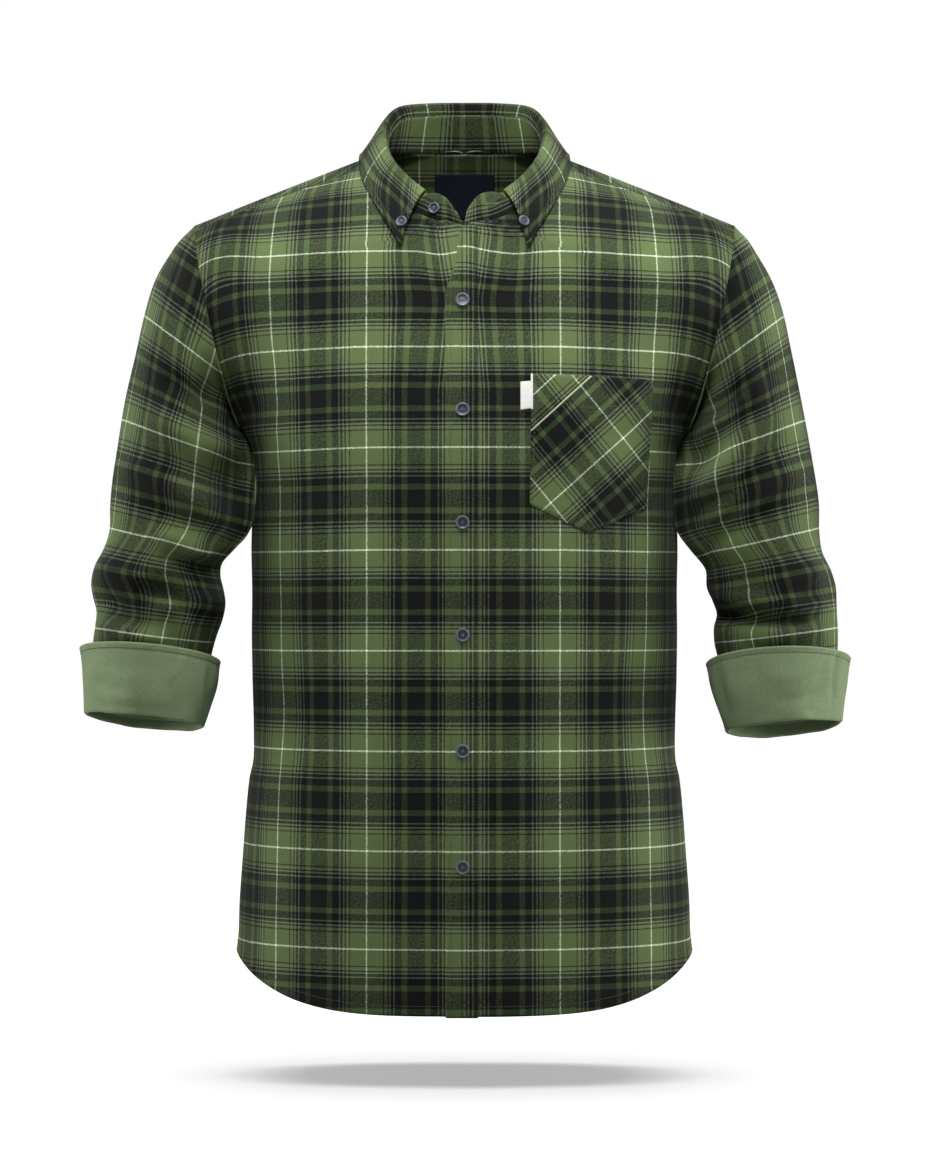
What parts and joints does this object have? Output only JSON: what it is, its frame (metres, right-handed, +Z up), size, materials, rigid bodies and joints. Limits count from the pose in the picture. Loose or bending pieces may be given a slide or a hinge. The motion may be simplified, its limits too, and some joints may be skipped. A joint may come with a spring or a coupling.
{
  "type": "worn twill shirt",
  "caption": "Long-sleeved checked twill shirt in worn form with no wearer: button-down collar, chest pocket, rolled sleeves with plain turned-up cuffs and a curved hem.",
  "frame": {"origin": "the middle of the neck between the shoulders, on the shoulder line, where the wearer holds the shirt up", "axes": "+X towards the wearer's left, +Y towards the wearer's back, +Z up along the body"},
  "size_m": [0.648, 0.2355, 0.779],
  "materials": {
    "checked_twill": "brushed cotton twill, green and black check with fine white lines",
    "twill_reverse": "plain sage green reverse of the twill",
    "navy_tape": "navy woven tape",
    "white_tape": "white woven tape",
    "button_slate": "slate blue four-hole buttons with a lighter rim"
  },
  "bodies": {
    "root": {"front_right": "checked_twill", "front_left": "checked_twill", "front_placket": "checked_twill", "back": "checked_twill", "yoke": "checked_twill", "sleeve_right_upper": "checked_twill", "sleeve_right_lower": "checked_twill", "sleeve_left_upper": "checked_twill", "sleeve_left_lower": "checked_twill", "cuff_right": "twill_reverse", "cuff_left": "twill_reverse", "collar_stand": "checked_twill", "collar_leaf": "checked_twill", "chest_pocket": "checked_twill", "pocket_tab": "white_tape", "neck_label": "navy_tape", "front_button_1": "button_slate", "front_button_2": "button_slate", "front_button_3": "button_slate", "front_button_4": "button_slate", "front_button_5": "button_slate", "front_button_6": "button_slate", "collar_button_right": "button_slate", "collar_button_left": "button_slate", "stand_button": "button_slate"}
  },
  "joints": []
}
